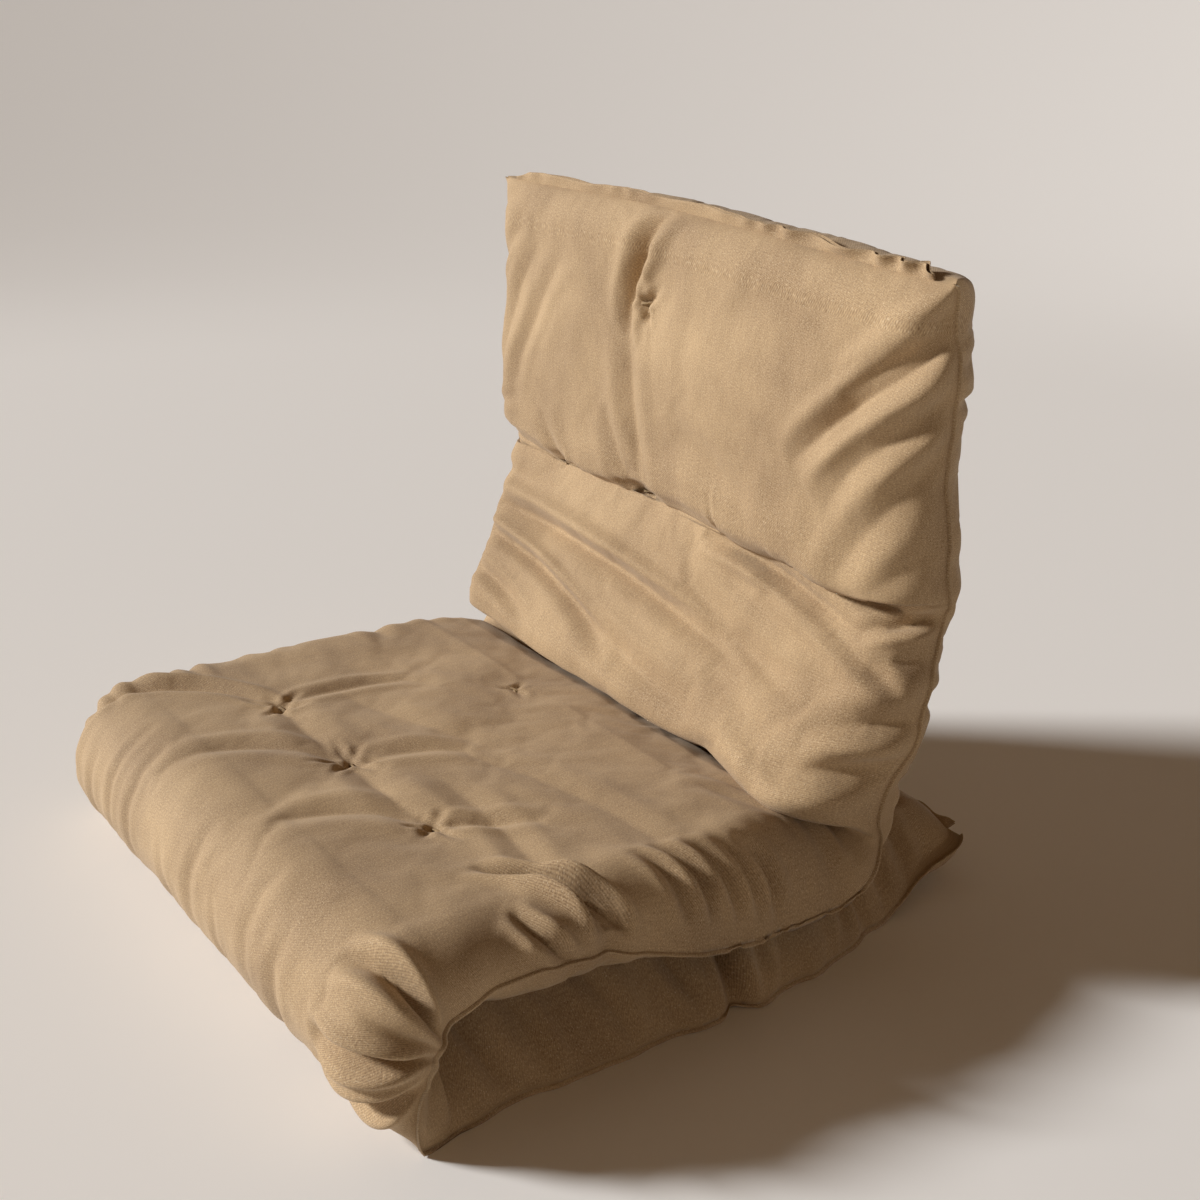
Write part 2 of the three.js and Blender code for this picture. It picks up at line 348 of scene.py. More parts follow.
tuftPlaces = {
    "base": tuftsFromFrame("base", "base", lambda y: baseRear - y),
    "seat": tuftsFromFrame("seat", "seat", lambda y: y - frontCrease[0]),
    "back": ("head", [(-190, 10), (-60, 12), (100, 10), (210, 0)]),     # drawn up into the head's fold
    "head": ("head", [(-45, 213)]),
}
print("tufts", {k: [tuple(round(float(c)) for c in p) for p in v[1]] for k, v in tuftPlaces.items()})


# sculpting: every length here is in millimetres on the unfolded mattress

lift = np.zeros(len(girth))       # how far each point moves out along its normal


def spot(part, across, distance):
    return np.array([across * mm, marks[part] + distance * mm])


def swell(centre, size, height, side=True):
    where = ((girth - centre[0]) / (size[0] * mm)) ** 2 + ((reach - centre[1]) / (size[1] * mm)) ** 2
    lift[onFace == side] += (height * mm * np.exp(-where))[onFace == side]


def crease(start, end, depth, width, bow=0, lip=0.5, lean=0, side=True, peak=0.5):
    # a valley from start to end, bowed sideways, with a soft ridge on both of its sides; it is
    # deepest at peak, as a share of its length
    chord = end - start
    length = np.linalg.norm(chord)
    chord = chord / length
    across = np.array([-chord[1], chord[0]])
    offsets = np.stack([girth, reach], axis=1) - start
    t = offsets @ chord / length
    q = offsets @ across - bow * mm * 4 * np.clip(t, 0, 1) * (1 - np.clip(t, 0, 1))
    inside = (t > 0) & (t < 1) & (onFace == side) & (np.abs(q) < 6 * width * mm)
    early, late = t[inside] / peak, (1 - t[inside]) / (1 - peak)
    fade = (early ** peak * late ** (1 - peak)) ** 1.6
    r = q[inside] / (width * mm)
    valley = np.exp(-np.abs(r) ** 1.25)
    ridges = (1 + lean) * np.exp(-(r - 2) ** 2) + (1 - lean) * np.exp(-(r + 2) ** 2)
    lift[inside] -= depth * mm * fade * (valley - lip * ridges)


def creases(part, table, **common):
    # one crease for each (start, end, depth, width, bow), and its other settings if it has any
    for start, end, depth, width, bow, *own in table:
        settings = {**common, **(own[0] if own else {})}
        crease(spot(part, *start), spot(part, *end), depth, width, bow, **settings)


def swells(part, table, side=True):
    for centre, size, height in table:
        swell(spot(part, *centre), size, height, side)


def tuft(centre, depth=14, seed=0, puckers=7, length=46, side=True):
    # a stitch pulls the panel down to a point, and small folds run out of it
    r = np.linalg.norm(np.stack([girth, reach], axis=1) - centre, axis=1)
    pull = 0.45 * np.exp(-r / (8 * mm)) + 0.55 * bump(r, 0, 46 * mm)
    lift[onFace == side] -= (depth * mm * pull)[onFace == side]
    random = np.random.default_rng(seed)
    for k in range(puckers):
        angle = 2 * math.pi * (k + random.uniform(-0.3, 0.3)) / puckers
        direction = np.array([math.cos(angle), math.sin(angle)])
        size = length * mm * random.uniform(0.6, 1.3)
        crease(centre + direction * size * 0.02, centre + direction * size,
               random.uniform(2, 4), random.uniform(3.2, 4.8), bow=random.uniform(-4, 4),
               side=side, peak=0.25)


def gathers(side, part, low, high, count, depth, length, slant=0, seed=0, panel=True):
    # folds that run in from a side seam, where the cloth is eased on to a shorter thread
    random = np.random.default_rng(seed)
    edge = side * columnGirth[-1]
    for k in range(count):
        distance = low + (high - low) * (k + random.uniform(-0.1, 1.1)) / count
        size = length * random.uniform(0.5, 1.5)
        start = spot(part, 0, distance)
        start[0] = edge
        end = start + np.array([-side * size * mm, slant * size * mm * random.uniform(0.5, 1.6)])
        crease(start - (end - start) * 0.15, end, depth * random.uniform(0.35, 1.1),
               random.uniform(5, 12), bow=random.uniform(-8, 8), lip=0.55, side=panel, peak=0.35)


def sculptSeat():
    for seed, place in enumerate(tuftPlaces["seat"][1]):
        inFrontRow = place[1] < 200
        if inFrontRow:
            tuft(spot("seat", *place), depth=12, seed=seed + 3, puckers=6, length=40)
        else:
            tuft(spot("seat", *place), depth=5, seed=8, puckers=3, length=24)
    creases("seat", [
        ((-176, 104), (-8, 104), 6, 14, -8, {"lip": 0.3}),
        ((-14, 104), (150, 104), 6, 14, -8, {"lip": 0.3}),
        ((-172, 104), (-322, -150), 9, 9, -52, {"lean": -0.6}), ((-12, 104), (-120, -60), 5, 12, -26),
        ((148, 104), (60, -20), 6, 14, -22), ((-172, 104), (-150, 250), 4, 9, 10),
        ((-12, 104), (40, 210), 4, 10, 8), ((148, 104), (205, 190), 5, 9, 5),
        ((-210, 160), (60, 240), 2.5, 16, -14), ((20, 190), (330, 250), 2.5, 14, 20),
        ((60, 150), (330, 120), 3.5, 12, 14)])
    swells("seat", [
        ((-90, -20), (90, 90), 5), ((70, -20), (90, 90), 5), ((230, 0), (90, 110), 7),
        ((250, 250), (90, 110), 4)])
    creases("seat", [
        ((356, 158), (236, 88), 24, 7, -7), ((354, 146), (262, 112), 10, 5, -4),
        ((356, 170), (280, 122), 19, 6, -4), ((360, 178), (306, 150), 11, 5, -3),
        ((376, 116), (310, 80), 17, 6, 5), ((354, 240), (292, 214), 8, 6, -5),
        ((354, 268), (288, 238), 9, 6, -6), ((360, 300), (296, 268), 10, 6, -6),
        ((364, 326), (300, 292), 8, 6, -6), ((368, 352), (306, 316), 10, 7, -6),
        ((352, 424), (190, 372), 5, 11, -6), ((348, 402), (210, 340), 4, 10, -8)],
        lip=0.55, peak=0.3)
    swells("seat", [
        ((352, 96), (22, 18), 9), ((345, 28), (50, 36), 8), ((336, 128), (30, 20), 6),
        ((330, 215), (40, 40), 6)])
    gathers(-1, "seat", -120, 420, 8, 6, 90, seed=14)


def sculptRoll():
    # the nose of the fold is stretched smooth along the width, with faint folds round its girth
    random = np.random.default_rng(21)
    for x in (-290, -262, -205, -150, -60, 10, 62, 130, 190, 262):
        top = random.uniform(130, 230)
        crease(spot("frontRoll", x + random.uniform(-12, 12), top - 160),
               spot("frontRoll", x + random.uniform(-12, 12), top), random.uniform(1.2, 3.2),
               random.uniform(6, 10), bow=random.uniform(-6, 6))
    creases("frontRoll", [
        ((374, 212), (262, 194), 17, 8, -9), ((374, 184), (312, 172), 5, 6, 4),
        ((374, 150), (258, 132), 17, 8, 7), ((374, 96), (250, 84), 13, 8, 8)], lip=0.75, peak=0.35)
    swell(spot("frontRoll", 330, 238), (60, 30), 3)
    gathers(-1, "frontRoll", 20, 235, 4, 6, 80, seed=23)


def sculptBack():
    for seed, place in enumerate(tuftPlaces["back"][1]):
        tuft(spot("head", *place), depth=7, seed=seed + 31, puckers=3, length=44)
    creases("back", [
        ((-316, 132), (190, 76), 19, 11, 14, {"lean": 0.6, "peak": 0.35}),
        ((-324, 96), (-20, 30), 15, 8, 12, {"lean": 0.6, "peak": 0.35}),
        ((-150, 74), (150, 26), 9, 11, -8, {"lean": 0.4}),
        ((-320, 50), (-170, 18), 9, 7, 6, {"peak": 0.3}),
        ((40, 150), (270, 76), 6, 14, -10, {"lean": 0.4}),
        ((-366, 168), (-230, 160), 4, 9, 8, {"peak": 0.3}), ((0, 128), (300, 112), 4, 19, -16),
        ((60, 196), (330, 150), 16, 8, 12, {"lean": -0.5}), ((150, 178), (350, 120), 13, 8, 10),
        ((120, 70), (350, 60), 6, 12, -12), ((190, 40), (340, 10), 4, 10, 8)])
    swells("back", [((60, 60), (150, 50), 5), ((250, 50), (90, 60), 5), ((-120, 150), (90, 40), 5)])
    gathers(1, "back", 10, 200, 5, 9, 110, slant=-0.3, seed=41)


def sculptHead():
    tuft(spot("head", -45, 213), depth=7, seed=51, puckers=8, length=34)
    creases("head", [
        ((-20, 302), (-78, 170), 15, 11, -22, {"lean": 0.5, "lip": 0.45}),
        ((-78, 196), (-30, -6), 7, 14, -6, {"lip": 0.4}), ((-110, 90), (-40, 0), 5, 11, -4),
        ((-250, 250), (-330, 60), 4, 10, -14), ((-200, 240), (-290, 60), 3, 9, -12),
        ((-230, 60), (-190, -10), 4, 10, 5), ((20, 90), (190, 10), 4, 14, 10)])
    swells("head", [
        ((120, 140), (140, 110), 16), ((250, 120), (90, 110), 8), ((-180, 110), (90, 110), 4),
        ((120, 20), (140, 36), 8)])
    creases("head", [
        ((395, 285), (260, 185), 10, 12, -8), ((395, 282), (210, 100), 12, 12, -8),
        ((395, 225), (250, 65), 5, 12, -8), ((395, 150), (260, 10), 4, 12, -8)], lip=0.6)
    gathers(1, "head", 10, 290, 3, 4, 110, slant=-0.6, seed=52)
    gathers(-1, "head", 30, 290, 3, 3, 90, slant=0.5, seed=53)


def sculptBase():
    # the base's side is pinched by the weight on it, and its cover is eased in folds round the seam
    creases("base", [
        ((376, 356), (262, 348), 26, 8, 5), ((376, 330), (300, 300), 6, 7, 6),
        ((372, 392), (296, 416), 9, 8, -6), ((376, 470), (296, 524), 8, 9, 8),
        ((376, 590), (286, 630), 11, 8, -8), ((376, 556), (296, 588), 8, 8, 5),
        ((370, 200), (280, 180), 9, 8, 6), ((372, 168), (280, 158), 10, 7, -5),
        ((376, 128), (270, 120), 8, 8, 5), ((372, 80), (280, 90), 8, 9, 5),
        ((310, 260), (250, 340), 6, 8, 6), ((312, 240), (258, 210), 6, 8, 6)],
        lip=0.6, side=False, peak=0.35)
    swells("base", [((350, 430), (40, 60), 5), ((350, 270), (40, 46), 6)], side=False)


def sculptHidden():
    for seed, (section, (part, places)) in enumerate(tuftPlaces.items()):
        for number, place in enumerate(places):
            tuft(spot(part, *place), depth=9, seed=90 + 7 * seed + number, puckers=5, length=36,
                 side=False)
            if section == "base":
                tuft(spot(part, *place), depth=4, seed=number, puckers=4, length=26)
    gathers(-1, "base", 30, 640, 7, 8, 80, seed=62, panel=False)
    gathers(1, "back", -40, 560, 5, 5, 100, seed=63, panel=False)
    gathers(-1, "back", -40, 560, 5, 5, 100, seed=64, panel=False)


def lumps(size, height, seed, count=24):
    # a sum of waves in random directions: the unevenness of the filling
    random = np.random.default_rng(seed)
    total = np.zeros(len(girth))
    for _ in range(count):
        angle, phase = random.uniform(0, math.pi), random.uniform(0, 2 * math.pi)
        wave = 2 * math.pi / (size * mm * random.uniform(0.7, 1.5))
        total += np.sin(wave * (girth * math.cos(angle) + reach * math.sin(angle)) + phase)
    return total * height * mm / math.sqrt(count / 2)


sculptSeat()
sculptRoll()
sculptBack()
sculptHead()
sculptBase()
sculptHidden()
lift += lumps(170, 1.0, 71) + lumps(60, 0.25, 72)
seamDistance = np.minimum(columnGirth[-1] - np.abs(girth), np.minimum(reach, along[-1] - reach))
lift *= 1 - 0.85 * bump(seamDistance, 0, 20 * mm)     # the seam itself stays nearly straight
skinPoints = skinPoints + skinNormals(skinPoints) * lift[:, None]
print("sculpted")


# the cover fills out and wrinkles between its seams and tufts

puff = {
    "frames": 22,
    "ease": 0.014,        # how much larger the cloth is cut than the filling
    "pressure": 1.2,
    "stretch": 20,
    "shear": 8,
    "bend": 0.6,
    "hold": 0.14,         # how strongly the filling keeps the sculpted shape
    "most": 6 * mm,       # no point moves further than this
}

tuftSpots = [spot(part, *place) for part, places in tuftPlaces.values() for place in places]


def pinWeights(number):
    weight = np.full(len(girth), puff["hold"])
    weight = np.maximum(weight, bump(seamDistance, 0, 9 * mm))
    for centre in tuftSpots:
        r = np.hypot(girth - centre[0], reach - centre[1])
        weight = np.maximum(weight, bump(r, 0, 12 * mm))
    hidden = ~onFace & (reach > 20 * mm) & (reach < marks["rearFold"])
    hidden |= onFace & (reach < marks["frontRoll"])
    outside = smooth(np.abs(girth), halfWidth - 90 * mm, halfWidth - 40 * mm)
    weight = np.where(hidden, np.maximum(weight, 1 - 0.9 * outside), weight)
    return np.clip(weight[number], 0, 1)


def coarsen(index):
    return index[::2, ::2]


def refine(values):
    # doubles a grid of vectors in both directions with smooth midpoints
    for axis in (0, 1):
        v = np.moveaxis(values, axis, 0)
        padded = np.concatenate([2 * v[:1] - v[1:2], v, 2 * v[-1:] - v[-2:-1]])
        middles = (9 * (padded[1:-2] + padded[2:-1]) - padded[:-3] - padded[3:]) / 16
        out = np.empty((2 * len(v) - 1, *v.shape[1:]))
        out[::2], out[1::2] = v, middles
        values = np.moveaxis(out, 0, axis)
    return values


def puffUp(points):
    face, reverse = coarsen(faceIndex), coarsen(reverseIndex)
    used = np.unique(np.concatenate([face.ravel(), reverse.ravel()]))
    number = np.full(len(points), -1)
    number[used] = np.arange(len(used))
    faces = np.concatenate([quads(number[face], False), quads(number[reverse], True)])
    thing = makeMesh("puffing", points[used], faces.tolist())
    pins = thing.vertex_groups.new(name="held")
    weights = np.round(pinWeights(used), 2)
    for value in np.unique(weights):
        pins.add(np.nonzero(weights == value)[0].tolist(), float(value), "REPLACE")
    cloth = thing.modifiers.new("cloth", "CLOTH")
    settings = cloth.settings
    settings.quality, settings.mass, settings.air_damping = 6, 0.2, 4
    settings.tension_stiffness = settings.compression_stiffness = puff["stretch"]
    settings.shear_stiffness, settings.bending_stiffness = puff["shear"], puff["bend"]
    settings.shrink_min = settings.shrink_max = -puff["ease"]
    settings.use_pressure, settings.uniform_pressure_force = True, puff["pressure"]
    settings.vertex_group_mass, settings.pin_stiffness = "held", 1.0
    settings.effector_weights.gravity = 0
    cloth.collision_settings.use_collision = False
    cloth.collision_settings.use_self_collision = False
    cloth.point_cache.frame_start, cloth.point_cache.frame_end = 1, puff["frames"]
    scene = bpy.context.scene
    for frameNumber in range(1, puff["frames"] + 1):
        scene.frame_set(frameNumber)
    posed = thing.evaluated_get(bpy.context.evaluated_depsgraph_get()).to_mesh()
    after = np.zeros(len(used) * 3, np.float32)
    posed.vertices.foreach_get("co", after)
    scene.frame_set(1)
    bpy.data.objects.remove(thing)
    moved = np.zeros_like(points)
    moved[used] = after.reshape(-1, 3) - points[used]
    size = np.linalg.norm(moved, axis=1)
    print("puffed", len(used), "points, mean mm", round(float(size[used].mean()) * 1000, 2),
          "most", round(float(size.max()) * 1000, 1))
    moved *= (puff["most"] * np.tanh(size / puff["most"]) / np.maximum(size, 1e-9))[:, None]
    onBack = (reach > marks["rearFold"]) & (reach < marks["headFold"])
    moved *= np.where(~onFace, 1, np.where(onBack, 0.5, 0.3))[:, None]    # the face is drawn taut
    result = np.zeros_like(points)
    result[reverseIndex] = refine(moved[reverse])
    result[faceIndex] = refine(moved[face])
    return points + result


def addThing(name, data):
    thing = bpy.data.objects.new(name, data)
    bpy.context.scene.collection.objects.link(thing)
    return thing


def makeMesh(name, points, faces, uv=None, normals=None):
    mesh = bpy.data.meshes.new(name)
    mesh.from_pydata(np.asarray(points).tolist(), [], [list(f) for f in faces])
    if uv is not None:
        corners = np.zeros(len(mesh.loops), int)
        mesh.loops.foreach_get("vertex_index", corners)
        layer = mesh.uv_layers.new(name="girthAndLength")
        layer.data.foreach_set("uv", np.asarray(uv)[corners].ravel())
    mesh.polygons.foreach_set("use_smooth", np.ones(len(mesh.polygons), bool))
    if normals is not None:
        mesh.normals_split_custom_set_from_vertices(normals.tolist())
    mesh.update()
    return addThing(name, mesh)


skinPoints = puffUp(skinPoints)


# pushes in the frame's own directions, and what the floor and the layers do

def push(part, across, distance, size, move, side=None):
    # moves the cloth round one spot by (x, y, z) in mm, fading out over size mm
    centre = spot(part, across, distance)
    where = bump(girth, centre[0], size[0] * mm) * bump(reach, centre[1], size[1] * mm)
    where = where * (1 if side is None else onFace == side)
    skinPoints[:] += where[:, None] * np.array(move)[None, :] * mm


def settle():
    # the near corner of the roll sags, and the side seams are drawn in at the creases that end on them
    push("frontRoll", 385, 60, (70, 60), (4, -8, -8))
    for part, distance, size, inwards in (("base", 356, 15, 13), ("base", 300, 30, 4), ("base", 168, 18, 7),
                                          ("seat", 160, 14, 9), ("seat", 300, 22, 4)):
        push(part, 377, distance, (70, size), (-inwards, 0, 0))
    # the lower edges of the back and of the head hang over the layer below them
    push("back", 300, 14, (110, 42), (0, -32, -8), side=True)
    push("back", -40, 10, (240, 28), (0, -13, -12), side=True)
    push("head", -160, 20, (230, 22), (0, -4, -15), side=True)
    push("head", 170, 20, (190, 26), (0, -8, -17), side=True)
    # the head's rear rises behind its seam, and its right side droops
    push("head", 120, headLength / mm - 28, (420, 26), (0, 0, 12), side=False)
    up = turned(backRise + path["headBend"])
    droop = smooth(girth, -0.1, 0.36) * smooth(reach, marks["head"] + 0.1, along[-1])
    skinPoints[:, 1:] -= droop[:, None] * up[None, :] * 20 * mm
    # the side of the base leans inwards, and the seat's edge hangs over it
    x, z = np.abs(skinPoints[:, 0]), skinPoints[:, 2]
    inBase = (reach < marks["frontRoll"]) & ~onFace
    leaning = inBase & (x > 0.2)
    skinPoints[leaning, 0] *= (1 - 0.13 * smooth(z, 0.004, 0.08) * smooth(x, 0.2, 0.34))[leaning]
    x = np.abs(skinPoints[:, 0])
    top = frontCrease[1] - 0.6 * mm - np.maximum(0, x - 0.27) * 0.55
    skinPoints[inBase, 2] = np.minimum(z, top)[inBase]
    inSeat = (reach >= marks["seat"]) & (reach < marks["rearFold"]) & ~onFace
    bottom = frontCrease[1] + 0.6 * mm - np.maximum(0, x - 0.28) * 0.5
    skinPoints[inSeat, 2] = np.maximum(skinPoints[:, 2], bottom)[inSeat]
    skinPoints[:, 2] = np.maximum(skinPoints[:, 2], 0.2 * mm)


settle()

# cut into pieces along the rows

cutAt = {
    "lowerFold": marks["frontRoll"] + 0.25 * math.pi * outerRadius,
    "upperFold": marks["frontRoll"] + 0.75 * math.pi * outerRadius,
    "seatMiddle": (marks["seat"] + marks["rearFold"]) / 2,
    "rearMiddle": marks["rearFold"] + 0.35 * (marks["back"] - marks["rearFold"]),
    "backMiddle": (marks["back"] + marks["headFold"]) / 2,
}
cutRows = [0, *[int(np.argmin(np.abs(along - at))) for at in cutAt.values()], rowCount - 1]


def at(point, direction, distance):
    # a point of the frame, some distance from a crease within the plane of the fold
    y, z = np.array(point) + np.array(direction) * distance * mm
    return (0, float(y), float(z))


lowerWay, upperWay = turned(135), turned(45)
rearWay = turned(0.35 * backRise)
backWay = turned(backRise)


def flatLayers(section):
    return [f"{section}_{layer}"
            for layer in ("face_cover", "reverse_cover", "face_wadding", "core", "reverse_wadding")]


def bentLayers(section):
    return [f"{section}_{layer}" for layer in ("cover", "face_wadding", "core", "reverse_wadding")]


# each piece's name, its blend from body to body between two places, and what it stands for
coverPieces = [
    ("mattressBase", ("base", "front_fold_lower",
                      at(frontCrease, lowerWay, -56), at(frontCrease, lowerWay, -7)),
     flatLayers("base")),
    ("frontFold", ("front_fold_lower", "front_fold_upper",
                   at(frontCrease, (0, 1), -9), at(frontCrease, (0, 1), 9)),
     bentLayers("front_fold_lower") + bentLayers("front_fold_upper")),
    ("seatFront", ("front_fold_upper", "seat",
                   at(frontCrease, upperWay, 7), at(frontCrease, upperWay, 56)),
     []),
    ("seatRear", ("seat", "rear_fold", at(rearCrease, rearWay, -60), at(rearCrease, rearWay, -7)),
     flatLayers("seat") + bentLayers("rear_fold")),
    ("backrest", ("rear_fold", "back", at(rearCrease, rearWay, 7), at(rearCrease, rearWay, 56)),
     flatLayers("back")),
    ("headrest", ("back", "head", at(headHinge, backWay, -30), at(headHinge, backWay, 30)),
     flatLayers("head")),
]


seam = {
    "proud": 3.6 * mm,        # how far the sewn edge stands out of the cover
    "rooted": 2.5 * mm,
    "half": 1.15 * mm,        # half of its thickness
}
stripUv = np.array([(0, 0), (3, 0), (4.5, 1), (3, 2), (0, 2)]) * mm


def seamStrip(line, out, around):
    # a narrow sewn edge along a line: a closed strip of five points round
    profile = [(-seam["rooted"], 1), (seam["proud"] * 0.8, 0.9), (seam["proud"], 0),
               (seam["proud"] * 0.8, -0.9), (-seam["rooted"], -1)]
    ring = [line + out * o + around * a * seam["half"] for o, a in profile]
    slope = [around, 0.5 * out + 0.5 * around, out, 0.5 * out - 0.5 * around, -around]
    points = np.stack(ring, axis=1).reshape(-1, 3)
    normals = np.stack(slope, axis=1).reshape(-1, 3)
    normals /= np.linalg.norm(normals, axis=1)[:, None]
    size, count = len(profile), len(line)
    index = np.arange(count * size).reshape(count, size)
    index = np.concatenate([index, index[:, :1]], axis=1)
    sides = quads(index, False)
    middle = sides[(count // 2) * size + 1]
    first = points[middle]
    ends = [index[0, :-1].tolist(), index[-1, :-1][::-1].tolist()]
    if np.dot(np.cross(first[1] - first[0], first[2] - first[1]), normals[middle[0]]) < 0:
        sides = sides[:, ::-1]
        ends = [end[::-1] for end in ends]
    return points, [*sides.tolist(), *ends], normals


def cutSkin(name, first, last, points, normals):
    # the rows from first to last of both panels, closed where the cloth was cut
    face, reverse = faceIndex[first:last + 1], reverseIndex[first:last + 1]
    faces = [quads(face, False), quads(reverse, True)]
    caps = []
    for row, cut, flip in ((0, first > 0, False), (-1, last < rowCount - 1, True)):
        if cut:
            strip = np.stack([face[row], reverse[row]])
            caps += [q for q in quads(strip, flip).tolist()]
    caps = [list(dict.fromkeys(q)) for q in caps]
    used = np.unique(np.concatenate([face.ravel(), reverse.ravel()]))
    newNumber = np.full(len(points), -1)
    newNumber[used] = np.arange(len(used))
    polygons = newNumber[np.concatenate(faces)].tolist() + [[int(newNumber[i]) for i in q] for q in caps]
    uv = np.stack([girth, reach + np.where(onFace, 0, 3.0)], axis=1)[used]
    places, outward = points[used], normals[used]
    for column in (0, -1):
        seamRows = faceIndex[first:last + 1, column]
        around = np.stack([np.zeros(len(seamRows)), *np.array(rows.face)[first:last + 1].T], axis=1)
        added, addedFaces, addedNormals = seamStrip(points[seamRows], seamOut[seamRows], around)
        added[:, 2] = np.maximum(added[:, 2], 0.3 * mm)
        polygons += [[int(i) + len(places) for i in q] for q in addedFaces]
        places, outward = np.concatenate([places, added]), np.concatenate([outward, addedNormals])
        seamUv = np.repeat(np.stack([girth, reach], axis=1)[seamRows], len(added) // len(seamRows), axis=0)
        uv = np.concatenate([uv, seamUv + np.tile(stripUv, (len(seamRows), 1))])
    return makeMesh(name, places, polygons, uv, outward)


def seamDirections():
    # which way the sewn edge points, smoothed along both sides
    out = finalNormals.copy()
    for column in (0, -1):
        line = out[faceIndex[:, column]]
        padded = np.pad(line, ((4, 4), (0, 0)), "edge")
        line = sum(padded[k:k + len(line)] for k in range(9))
        out[faceIndex[:, column]] = line / np.linalg.norm(line, axis=1)[:, None]
    return out


finalNormals = skinNormals(skinPoints)
seamOut = seamDirections()
covers = {}
for number, (name, bend, nodes) in enumerate(coverPieces):
    piece = cutSkin(name, cutRows[number], cutRows[number + 1], skinPoints, finalNormals)
    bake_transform(piece)
    if nodes:
        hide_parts(*nodes)
    covers[name] = piece
print("pieces", {name: len(piece.data.polygons) for name, piece in covers.items()})


# the closing seams of both ends: two layers of cloth, ruffled where they are eased

flange = {
    "layers": 2,
    "gap": 1.5 * mm,
    "cloth": 0.8 * mm,
    "ruffle": 6 * mm,
    "period": 44 * mm,
    "levels": 6,              # rows of points from the root to the free edge
}


def closingSeam(name, row, way, height, ruffleFrom, tip, seed):
    # stands along the end row; ruffles grow from ruffleFrom to the right, and the tip curls up
    random = np.random.default_rng(seed)
    columns = np.nonzero(np.abs(columnX) < halfWidth - 22 * mm)[0]
    line = skinPoints[faceIndex[row, columns]]
    fine = np.linspace(0, len(line) - 1, 3 * len(line))
    line = np.stack([np.interp(fine, np.arange(len(line)), line[:, k]) for k in range(3)], axis=1)
    face = np.array([0, *rows.face[row]])
    way = np.array([0, *way])
    points, faces, uv, count = [], [], [], len(line)
    phase = np.cumsum(np.abs(np.gradient(line[:, 0])) * 2 * math.pi / flange["period"]
                      * (1 + 0.55 * np.sin(line[:, 0] * 31 + random.uniform(0, 6))))
    growth = 0.2 + 0.8 * smooth(line[:, 0], ruffleFrom, ruffleFrom + 120 * mm)
    leftEnd, rightEnd = line[:, 0].min(), line[:, 0].max()
    ends = smooth(line[:, 0], leftEnd, leftEnd + 30 * mm)
    ends = ends * smooth(-line[:, 0], -rightEnd, -rightEnd + 16 * mm)
    curl = smooth(line[:, 0], rightEnd - 30 * mm, rightEnd)
    for layer in range(flange["layers"]):
        offset = (layer - 0.5) * flange["gap"]
        for level in np.linspace(-0.25, 1, flange["levels"]):
            wave = flange["ruffle"] * growth * np.clip(level, 0, 1) ** 0.8
            sway = wave * np.sin(phase + 0.35 * layer) + offset * (1 + level)
            rise = height * level * (1 + 0.12 * np.sin(line[:, 0] * 47 + layer)) * (0.35 + 0.65 * ends)
            place = line + face * sway[:, None] + way * rise[:, None]
            place[:, 2] += curl * tip * np.clip(level, 0, 1)
            place[:, 0] += curl * tip * 0.5 * np.clip(level, 0, 1)
            place[:, 2] = np.maximum(place[:, 2], (1 + layer) * mm)
            for side in (-0.5, 0.5):
                points.append(place + face * side * flange["cloth"])
                uv.append(np.stack([line[:, 0], np.full(count, 2 + level * height + layer * 0.1)], axis=1))
    for layer in range(flange["layers"]):
        nearSide = [2 * (flange["levels"] * layer + k) for k in range(flange["levels"])]
        loop = nearSide + [k + 1 for k in nearSide[::-1]]
        index = np.array([[k * count + j for k in (*loop, loop[0])] for j in range(count)])
        faces += quads(index, False).tolist()
        faces += [index[0, :-1][::-1].tolist(), index[-1, :-1].tolist()]
    piece = makeMesh(name, np.concatenate(points), faces, np.concatenate(uv))
    mesh = bmesh.new()
    mesh.from_mesh(piece.data)
    bmesh.ops.recalc_face_normals(mesh, faces=mesh.faces)
    mesh.to_mesh(piece.data)
    mesh.free()
    return piece


headWay = turned(backRise + path["headBend"])
headSeam = closingSeam("headClosingSeam", -1, headWay, 11 * mm, 0.06, 3 * mm, 5)
baseSeam = closingSeam("baseClosingSeam", 0, (1, 0.05), 10 * mm, 0.1, 14 * mm, 6)
for sewn, section in ((headSeam, "head"), (baseSeam, "base")):
    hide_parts(section + "_closing_seam")
    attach(sewn, section)


# tuft stitches: a bar of three-ply twisted thread on each side of the mattress

stitch = {
    "length": 13 * mm,
    "ply": 0.55 * mm,         # radius of one ply
    "twist": 0.62 * mm,       # how far each ply lies from the middle of the thread
    "turns": 4.5,
    "arch": 1.3 * mm,
    "bars": 2,                # bars at each tuft
}


